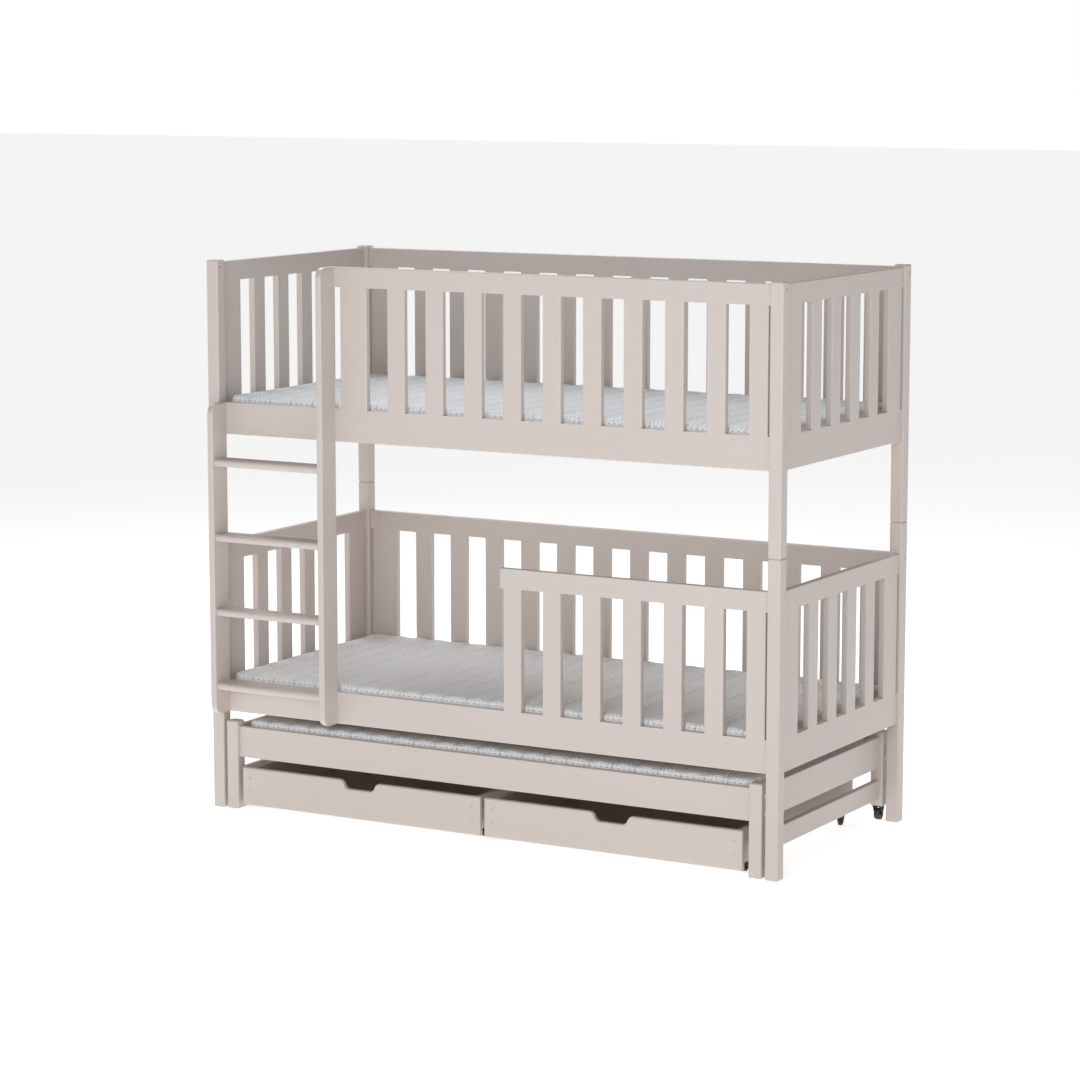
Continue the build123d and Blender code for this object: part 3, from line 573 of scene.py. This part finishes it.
def quilted_cover(name, low, high):
    """White knit with seams, slanted stitch lines and the border's dashes, and painted shade in the seams,
    ripples and puffs.
    """
    finish = Finish(name)
    place = finish.node("ShaderNodeTexCoord", {}, {}, "Object")
    x = finish.node("ShaderNodeSeparateXYZ", {}, {0: place}, "X")
    y = finish.node("ShaderNodeSeparateXYZ", {}, {0: place}, "Y")
    around = finish.node("ShaderNodeAttribute", {"attribute_name": "around"}, {}, "Fac")
    drop = finish.node("ShaderNodeAttribute", {"attribute_name": "drop"}, {}, "Fac")
    pitch = (high[0] - low[0]) / round((high[0] - low[0]) / channel_pitch)
    run = (x - low[0]) / pitch
    inside = finish.node("ShaderNodeMath", {"operation": "FRACT"}, {0: run})
    channel = finish.node("ShaderNodeMath", {"operation": "FLOOR"}, {0: run})
    pair = finish.node("ShaderNodeMath", {"operation": "FRACT"}, {0: channel / 2})
    lean = pair * 4 - 1
    slant = (x * math.cos(stitch_lean) + y * lean * math.sin(stitch_lean)) / stripe_pitch
    stripe = finish.node("ShaderNodeMath", {"operation": "SINE"}, {0: slant * math.tau})
    seam_gap = 0.5 - abs(inside - 0.5)
    seam = finish.node("ShaderNodeMapRange", {}, {"Value": seam_gap, "From Min": 0.0, "From Max": 0.045,
                                                  "To Min": 1.0, "To Max": 0.0})
    on_top = drop < border_drop * 0.75
    on_border = 1 - on_top
    step = finish.node("ShaderNodeMath", {"operation": "FRACT"}, {0: around / stitch_pitch})
    level = abs(drop - dash_drop) < dash_half
    dash = (step < dash_share) * level * on_border
    tick_gap = finish.node("ShaderNodeMath", {"operation": "FRACT"}, {0: around / pitch})
    tick_place = (0.5 - abs(tick_gap - 0.5)) < tick_half
    tick = tick_place * on_border * (drop < dash_drop + tick_reach)
    loops = finish.node("ShaderNodeTexVoronoi", {}, {"Vector": place, "Scale": 900.0}, "Distance")
    puffs = finish.node("ShaderNodeTexNoise", {}, {"Vector": place, "Scale": 38.0, "Detail": 2.0})
    stripe_ripples_and_shade = (stripe * 0.5 + 0.5) * on_top
    # Painted shade: the knit's colour is darkened along the stitch ripples, in the puffs' hollows and in
    # the seam grooves
    painted_shade = stripe_ripples_and_shade * 0.62 + puffs * 0.10 + seam * on_top * 0.30
    base = finish.node("ShaderNodeMix", {"data_type": "RGBA"}, {0: painted_shade, 6: knit_white, 7: knit_painted_shade}, 2)
    marks = dash * 0.75 + tick * 0.55
    colour = finish.node("ShaderNodeMix", {"data_type": "RGBA", "clamp_factor": True},
                         {0: marks, 6: base, 7: stitch_grey}, 2)
    height = stripe_ripples_and_shade * -0.8 - seam * on_top * 1.6 - marks * 1.2 + puffs * 0.4 + loops * 0.12
    relief = finish.node("ShaderNodeBump", {}, {"Height": height, "Strength": 0.75, "Distance": 0.0016})
    return finish.coat({"Base Color": colour, "Roughness": 0.82 + loops * 0.1, "Normal": relief,
                        "Sheen Weight": 0.25, "Sheen Roughness": 0.5})


def make_mattress(level, body):
    """Blank, swelling, border marks and cover of one mattress."""
    node = f"{level}_mattress"
    low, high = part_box(node)
    cover = quilted_cover(f"{level}_quilted_cover", low, high)
    piece = hang(f"{level}_quilted_mattress", mattress_blank(low, high), cover, body)
    swell(piece, low, high)
    mark_border(piece, low, high)
    piece.data.polygons.foreach_set("use_smooth", [True] * len(piece.data.polygons))
    smooth = piece.modifiers.new("smooth", "SUBSURF")
    smooth.levels = 1
    smooth.render_levels = 1
    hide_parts(node)
    return piece


for level, body in levels:
    make_mattress(level, body)

# Studio
# A white seamless floor that runs out of sight, lit by a wide soft box in front to the right,
# a smaller one off the right end, one above the back and an even white surround.

floor_reach = 60.0
surround_light = 0.27
surround_seen = 1.0
floor_glow = 0.66

bpy.context.scene.view_settings.view_transform = "Standard"
surround = bpy.data.worlds.new("white_surround")
surround.use_nodes = True
sky = surround.node_tree
sky_path = sky.nodes.new("ShaderNodeLightPath")
sky_light = sky.nodes["Background"]
sky_light.inputs["Color"].default_value = (1, 1, 1, 1)
sky_light.inputs["Strength"].default_value = surround_light
sky_seen = sky.nodes.new("ShaderNodeBackground")
sky_seen.inputs["Color"].default_value = (1, 1, 1, 1)
sky_seen.inputs["Strength"].default_value = surround_seen
sky_choice = sky.nodes.new("ShaderNodeMixShader")
sky.links.new(sky_path.outputs["Is Camera Ray"], sky_choice.inputs["Fac"])
sky.links.new(sky_light.outputs["Background"], sky_choice.inputs[1])
sky.links.new(sky_seen.outputs["Background"], sky_choice.inputs[2])
sky.links.new(sky_choice.outputs["Shader"], sky.nodes["World Output"].inputs["Surface"])
bpy.context.scene.world = surround


def soft_box(name, place, target, size, power):
    """An area light at a place, turned to a target."""
    light = bpy.data.lights.new(name, "AREA")
    light.shape = "RECTANGLE"
    light.size, light.size_y = size
    light.energy = power
    lamp = bpy.data.objects.new(name, light)
    lamp.location = place
    lamp.rotation_euler = (Vector(target) - Vector(place)).to_track_quat("-Z", "Y").to_euler()
    bpy.context.scene.collection.objects.link(lamp)


soft_box("front_box", (1.7, -5.9, 2.0), (0.4, 0, 0.8), (3.2, 3.0), 124)
soft_box("right_box", (6.5, -1.5, 1.8), (0, 0, 0.8), (1.5, 3.0), 17)
soft_box("back_box", (-2.2, 1.8, 4.4), (0, 0, 1.0), (3.0, 3.0), 128)

floor_mesh = bpy.data.meshes.new("studio_floor")
floor_shape = bmesh.new()
bmesh.ops.create_grid(floor_shape, x_segments=1, y_segments=1, size=floor_reach)
floor_shape.to_mesh(floor_mesh)
floor_shape.free()
floor = bpy.data.objects.new("studio_floor", floor_mesh)
bpy.context.scene.collection.objects.link(floor)
floor_paint = Finish("white_floor_paint")
floor_place = floor_paint.node("ShaderNodeTexCoord", {}, {}, "Object")
floor_mottle = floor_paint.node("ShaderNodeTexNoise", {},
                                {"Vector": floor_place, "Scale": 3.0, "Detail": 2.0})
floor_mesh.materials.append(floor_paint.coat({"Base Color": (0.9, 0.9, 0.9, 1),
                                              "Roughness": 0.85 + floor_mottle * 0.1,
                                              "Emission Color": (1, 1, 1, 1),
                                              "Emission Strength": floor_glow}))

# Camera
# It stands in front of the bed's right corner, above the upper bunk, and looks slightly down.
# A long lens keeps the posts nearly parallel.

camera = bpy.data.objects.new("camera", bpy.data.cameras.new("camera"))
bpy.context.scene.collection.objects.link(camera)
camera.location = (4.802, -8.488, 2.275)
camera.rotation_euler = (math.radians(90 - 8.434), 0, math.radians(29.672))
camera.data.sensor_width = 36
camera.data.lens = 36 * 3350.2 / 1080
camera.data.clip_end = 200
bpy.context.scene.camera = camera
